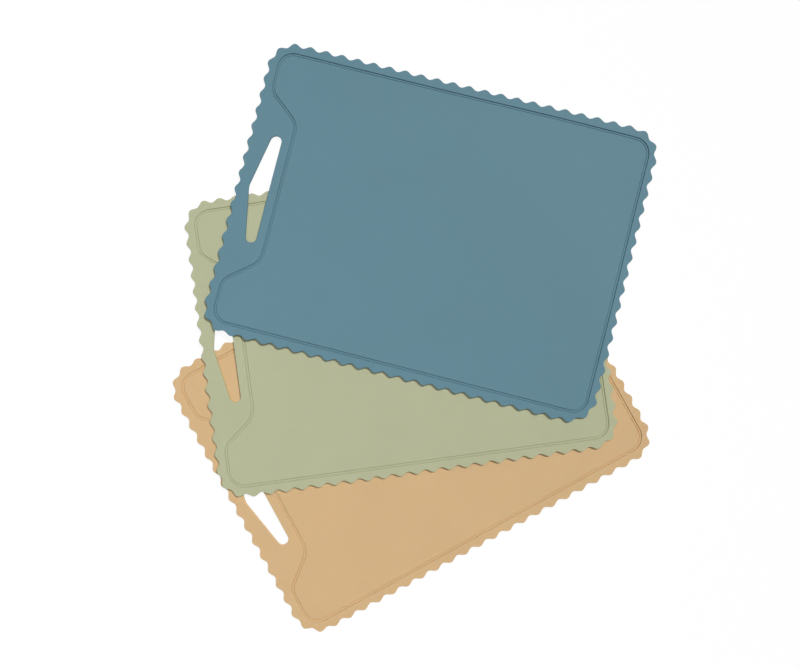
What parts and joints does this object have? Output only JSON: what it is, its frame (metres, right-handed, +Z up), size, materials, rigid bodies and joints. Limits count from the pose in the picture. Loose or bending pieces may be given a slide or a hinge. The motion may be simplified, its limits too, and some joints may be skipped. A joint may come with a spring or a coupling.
{
  "type": "silicone cutting board set",
  "caption": "Fan of thin flexible silicone cutting boards with wavy edges, a juice groove round the face and a triangular hand slot at one end.",
  "frame": {"origin": "on the surface that the bottom board lies on, under the middle of the stack's outline seen from above", "axes": "+Z up out of the cutting faces, through the thickness; +Y up the page of the picture, along the fan's longest way; +X to the right of the picture, away from the handles"},
  "size_m": [0.4816, 0.5868, 0.0092],
  "materials": {
    "peach_silicone": "satin",
    "green_silicone": "satin",
    "blue_silicone": "satin"
  },
  "bodies": {
    "peach_board": {"peach_board": "peach_silicone"},
    "green_board": {"green_board": "green_silicone"},
    "blue_board": {"blue_board": "blue_silicone"}
  },
  "joints": [
    {"name": "green_lift", "type": "slide", "parent": "peach_board", "child": "green_board", "axis": [0, 0, 1], "range_m": [0, 0.1]},
    {"name": "blue_lift", "type": "slide", "parent": "green_board", "child": "blue_board", "axis": [0, 0, 1], "range_m": [0, 0.1]}
  ]
}
